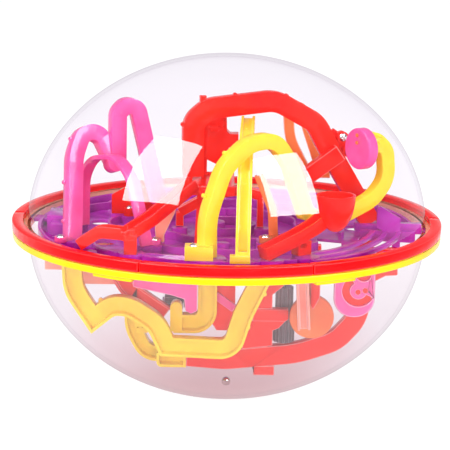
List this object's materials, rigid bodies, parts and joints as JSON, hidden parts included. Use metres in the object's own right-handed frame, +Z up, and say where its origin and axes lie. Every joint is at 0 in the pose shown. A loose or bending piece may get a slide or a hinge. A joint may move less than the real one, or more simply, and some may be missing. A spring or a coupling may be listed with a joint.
{
  "type": "3d maze ball puzzle",
  "caption": "Clear saucer-shaped shell in a two-colour rim around a maze plate, with curved ball tracks above and below it and a loose steel ball",
  "frame": {"origin": "centre of the flat under the lower shell that the toy stands on", "axes": "+Z up through both poles, -Y towards the front, +X to the right seen from the front"},
  "size_m": [0.22, 0.22, 0.1761],
  "materials": {
    "clear_plastic": "gloss",
    "rim_red": "gloss",
    "rim_yellow": "gloss",
    "purple_plastic": "gloss",
    "pink_plastic": "gloss",
    "yellow_plastic": "gloss",
    "red_plastic": "gloss",
    "orange_plastic": "gloss",
    "salmon_plastic": "gloss",
    "grey_plastic": "satin",
    "screw_steel": "polished",
    "pin_steel": "satin",
    "ball_steel": "polished"
  },
  "bodies": {
    "maze": {"clear_lower_shell": "clear_plastic", "clear_upper_shell": "clear_plastic", "drum_pin": "pin_steel", "grey_wheel_hanger": "grey_plastic", "grey_wheel_pin": "pin_steel", "lower_red_arch": "red_plastic", "lower_red_cradle": "red_plastic", "lower_red_tower": "red_plastic", "lower_rim_ring": "rim_yellow", "lower_yellow_hook": "yellow_plastic", "lower_yellow_loop": "yellow_plastic", "lower_yellow_wave": "yellow_plastic", "maze_plate": "purple_plastic", "orange_hairpin_track": "orange_plastic", "orange_post": "orange_plastic", "orange_wheel_hanger": "orange_plastic", "orange_wheel_pin": "pin_steel", "pink_bridge_strap": "pink_plastic", "pink_link_bar": "pink_plastic", "pink_spiral_plate": "pink_plastic", "pink_under_bracket": "pink_plastic", "pink_wave_track": "pink_plastic", "ratchet_pin": "pin_steel", "red_arch_track": "red_plastic", "red_back_wall": "red_plastic", "red_bracket": "red_plastic", "red_bridge": "red_plastic", "red_cross_chute": "red_plastic", "red_diagonal_chute": "red_plastic", "red_ramp_rail": "red_plastic", "red_scoop_chute": "red_plastic", "red_side_arm": "red_plastic", "red_spiral_insert": "red_plastic", "red_tower": "red_plastic", "red_vee": "red_plastic", "rim_clip_back": "rim_red", "rim_clip_front": "rim_red", "rim_clip_left_back": "rim_red", "rim_clip_left_front": "rim_red", "rim_clip_right_back": "rim_red", "rim_clip_right_front": "rim_red", "roller_pin": "pin_steel", "salmon_post": "salmon_plastic", "salmon_side_wall": "salmon_plastic", "salmon_wedge": "salmon_plastic", "screws": "screw_steel", "yellow_climb_gutter": "yellow_plastic", "yellow_wave_track": "yellow_plastic"},
    "ball": {"steel_ball": "ball_steel"},
    "drum": {"pink_drum": "pink_plastic", "drum_pegs": "orange_plastic"},
    "ratchet": {"red_ratchet_wheel": "red_plastic"},
    "wheel": {"orange_wheel": "orange_plastic"},
    "tall_roller": {"grey_roller": "grey_plastic"},
    "short_roller": {"grey_wheel": "grey_plastic"}
  },
  "joints": [
    {"name": "drum_spin", "type": "hinge", "parent": "maze", "child": "drum", "pos_m": [0.0634, -0.0298, 0.1336], "axis": [-0.8387, -0.5446, 0], "continuous": true},
    {"name": "ratchet_spin", "type": "hinge", "parent": "maze", "child": "ratchet", "pos_m": [-0.0068, -0.0016, 0.1422], "axis": [0, -1, 0], "continuous": true},
    {"name": "wheel_spin", "type": "hinge", "parent": "maze", "child": "wheel", "pos_m": [0.0442, -0.02, 0.0444], "axis": [0, -1, 0], "continuous": true},
    {"name": "tall_roller_spin", "type": "hinge", "parent": "maze", "child": "tall_roller", "pos_m": [0.0306, -0.005, 0.042], "axis": [0, 0, 1], "continuous": true},
    {"name": "short_roller_spin", "type": "hinge", "parent": "maze", "child": "short_roller", "pos_m": [-0.027, -0.005, 0.0481], "axis": [1, 0, 0], "continuous": true},
    {"name": "ball_roll", "type": "hinge", "parent": "maze", "child": "ball", "pos_m": [0, -0.004, 0.11826], "axis": [0, 1, 0], "range_deg": [-12, 12]}
  ]
}
